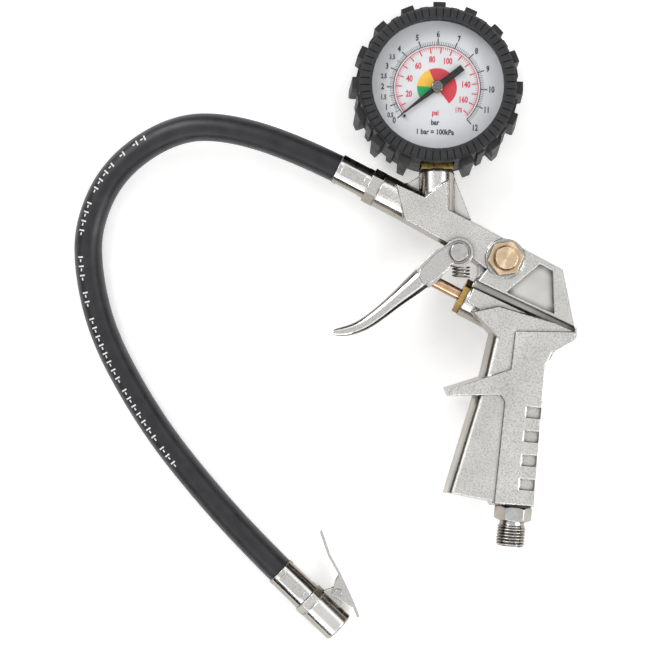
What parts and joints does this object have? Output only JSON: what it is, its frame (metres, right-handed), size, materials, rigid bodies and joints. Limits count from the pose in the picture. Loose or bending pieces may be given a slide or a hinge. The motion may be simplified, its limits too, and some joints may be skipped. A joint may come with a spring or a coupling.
{
  "type": "tire pressure gauge",
  "caption": "Pistol-grip tyre inflator with a dial pressure gauge in a tread-pattern rubber boot, a squeeze lever, a bleed button, an air inlet, and a rubber hose with a clip-on chuck",
  "frame": {"origin": "on the floor under the centre of the gun and its gauge, the hose and chuck left out; the gun lies on its back", "axes": "+X to the right of the gun seen from the dial side, +Y from the air inlet to the gauge, +Z toward the viewer of the dial"},
  "size_m": [0.2273, 0.2872, 0.0376],
  "materials": {
    "cast_nickel": "nickel plated die casting, satin grain on the flats and bright edges",
    "bright_plate": "bright nickel plating",
    "zinc_steel": "zinc plated turned steel",
    "warm_brass": "turned brass, bright",
    "dark_brass": "brass, dull ochre",
    "copper_rod": "coppery brass, turned bright",
    "boot_rubber": "dark grey moulded rubber",
    "hose_rubber": "black rubber hose, satin",
    "seal_rubber": "black nitrile rubber",
    "case_steel": "black painted pressed steel",
    "dial_paint": "white printed dial",
    "pointer_black": "black painted aluminium",
    "lens_clear": "clear lens",
    "movement_brass": "pressed brass",
    "tube_bronze": "phosphor bronze",
    "spring_steel": "bright spring wire"
  },
  "bodies": {
    "gun": {"gun_body": "cast_nickel", "inlet_nipple": "zinc_steel", "inlet_seal": "seal_rubber", "gland_nut": "dark_brass", "rod_seal": "seal_rubber", "valve_seat": "movement_brass", "valve_spring": "spring_steel", "pivot_pin": "zinc_steel", "lever_spring": "spring_steel", "bleed_nut": "warm_brass", "bleed_seal": "seal_rubber", "bleed_spring": "spring_steel", "gauge_socket": "dark_brass", "gauge_seal": "seal_rubber", "gauge_case": "case_steel", "bourdon_tube": "tube_bronze", "movement_frame": "movement_brass", "movement_screws": "movement_brass", "dial_plate": "dial_paint", "stop_pin": "pointer_black", "lens": "lens_clear", "bezel_ring": "case_steel", "rubber_boot": "boot_rubber", "hose_adapter": "bright_plate", "gun_ferrule": "bright_plate", "hose": "hose_rubber", "chuck_ferrule": "bright_plate", "chuck_stem": "bright_plate", "chuck_body": "cast_nickel", "chuck_seal": "seal_rubber", "chuck_depressor": "movement_brass", "clip_bracket": "bright_plate", "clip_pin": "zinc_steel", "clip_spring": "spring_steel"},
    "lever": {"trigger_lever": "bright_plate"},
    "plunger": {"plunger_rod": "copper_rod", "inlet_valve": "movement_brass"},
    "bleed": {"bleed_button": "warm_brass"},
    "needle": {"pinion_shaft": "movement_brass", "hairspring": "tube_bronze", "pointer": "pointer_black", "pointer_cap": "bright_plate"},
    "sector": {"sector_gear": "movement_brass"},
    "link": {"link": "movement_brass"},
    "clip": {"clip_lever": "bright_plate"}
  },
  "joints": [
    {"name": "lever_hinge", "type": "hinge", "parent": "gun", "child": "lever", "pos_m": [0.0024, 0.0087, 0.0211], "axis": [0, 0, 1], "range_deg": [0, 12], "stiffness_Nm_per_rad": 0.6, "springref_deg": -8.59, "deforming": ["lever_spring"]},
    {"name": "plunger_slide", "type": "slide", "parent": "gun", "child": "plunger", "axis": [0.887, -0.4617, 0], "range_m": [0, 0.0041], "deforming": ["valve_spring"]},
    {"name": "bleed_push", "type": "slide", "parent": "gun", "child": "bleed", "axis": [0, 0, -1], "range_m": [0, 0.002], "stiffness_N_per_m": 1000, "springref_m": -0.002, "deforming": ["bleed_spring"]},
    {"name": "pointer_spin", "type": "hinge", "parent": "gun", "child": "needle", "pos_m": [-0.007, 0.0816, 0.01719], "axis": [0, 0.1045, 0.9945], "range_deg": [-266.5, 0], "stiffness_Nm_per_rad": 0.0001, "springref_deg": 34.38},
    {"name": "sector_rock", "type": "hinge", "parent": "gun", "child": "sector", "pos_m": [-0.007, 0.06369, 0.01907], "axis": [0, 0.1045, 0.9945], "range_deg": [0, 29.62]},
    {"name": "link_swing", "type": "hinge", "parent": "sector", "child": "link", "pos_m": [-0.0125, 0.06369, 0.01907], "axis": [0, 0.1045, 0.9945], "range_deg": [-29.62, 0]},
    {"name": "clip_press", "type": "hinge", "parent": "gun", "child": "clip", "pos_m": [-0.05112, -0.14522, 0.0076], "axis": [0, 0, 1], "range_deg": [0, 18], "stiffness_Nm_per_rad": 0.2, "springref_deg": -17.19, "deforming": ["clip_spring"]}
  ],
  "couplings": [
    {"joint": "plunger_slide", "follows": "lever_hinge", "m_per_rad": 0.0192},
    {"joint": "sector_rock", "follows": "pointer_spin", "ratio": -0.11111},
    {"joint": "link_swing", "follows": "pointer_spin", "ratio": 0.11111}
  ]
}
